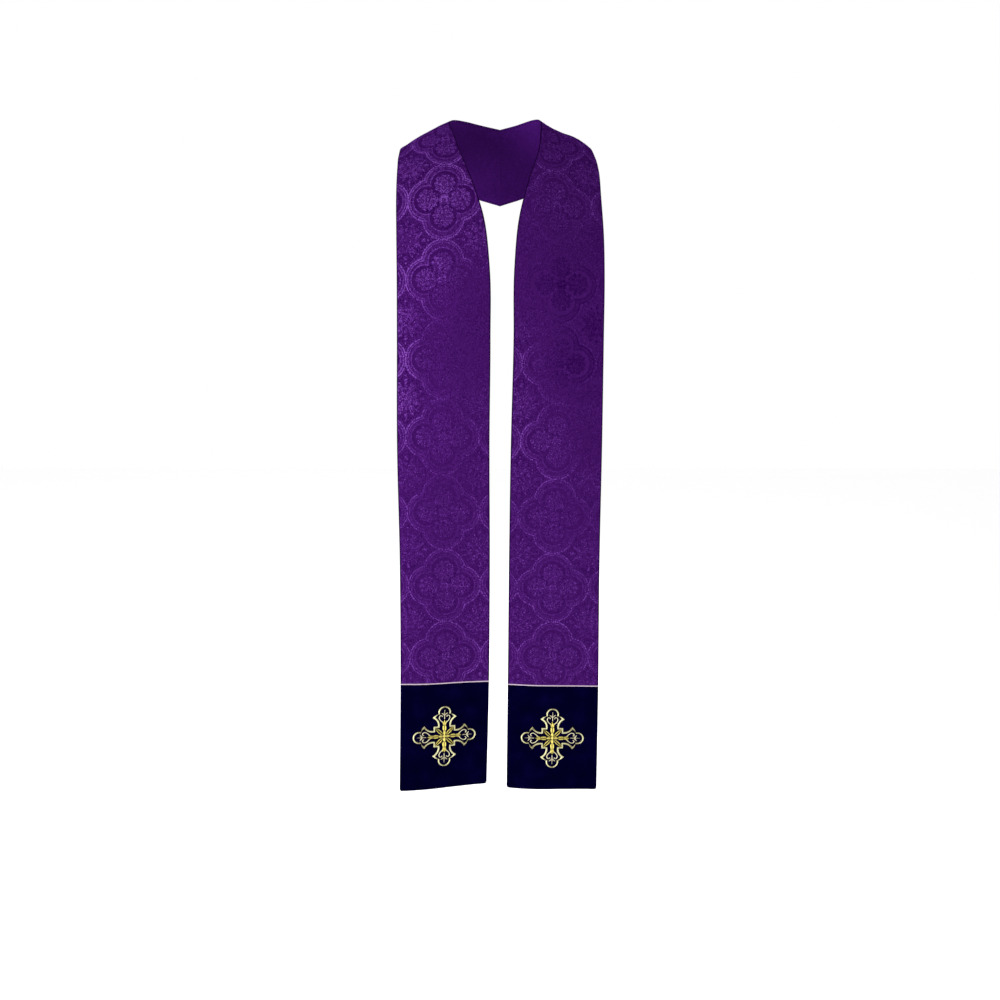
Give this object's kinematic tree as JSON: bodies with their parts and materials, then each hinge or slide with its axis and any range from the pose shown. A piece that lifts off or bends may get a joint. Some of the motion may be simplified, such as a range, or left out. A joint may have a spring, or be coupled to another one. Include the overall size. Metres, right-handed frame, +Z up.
{
  "type": "clerical stole",
  "caption": "Clerical stole in its worn form: brocade strips from the nape over the shoulders down the front, with piped velvet ends and embroidered crosses.",
  "frame": {"origin": "the inner edge of the stole at the centre of the back of the neck, on the nape seam, where the wearer's neck holds it", "axes": "+Z up, -Y the way the wearer faces, +X towards the viewer's right as the front is seen"},
  "size_m": [0.3653, 0.281, 1.223],
  "materials": {
    "brocade": "purple figured damask brocade with a soft sheen",
    "velvet": "near-black violet velvet with a short upright pile",
    "piping": "pale pink-ivory satin piping cord",
    "gold_thread": "padded satin stitch in metallic gold thread"
  },
  "bodies": {
    "root": {"panel_left": "brocade", "panel_right": "brocade", "band_left": "velvet", "band_right": "velvet", "piping_left": "piping", "piping_right": "piping", "cross_left": "gold_thread", "cross_right": "gold_thread"}
  },
  "joints": []
}
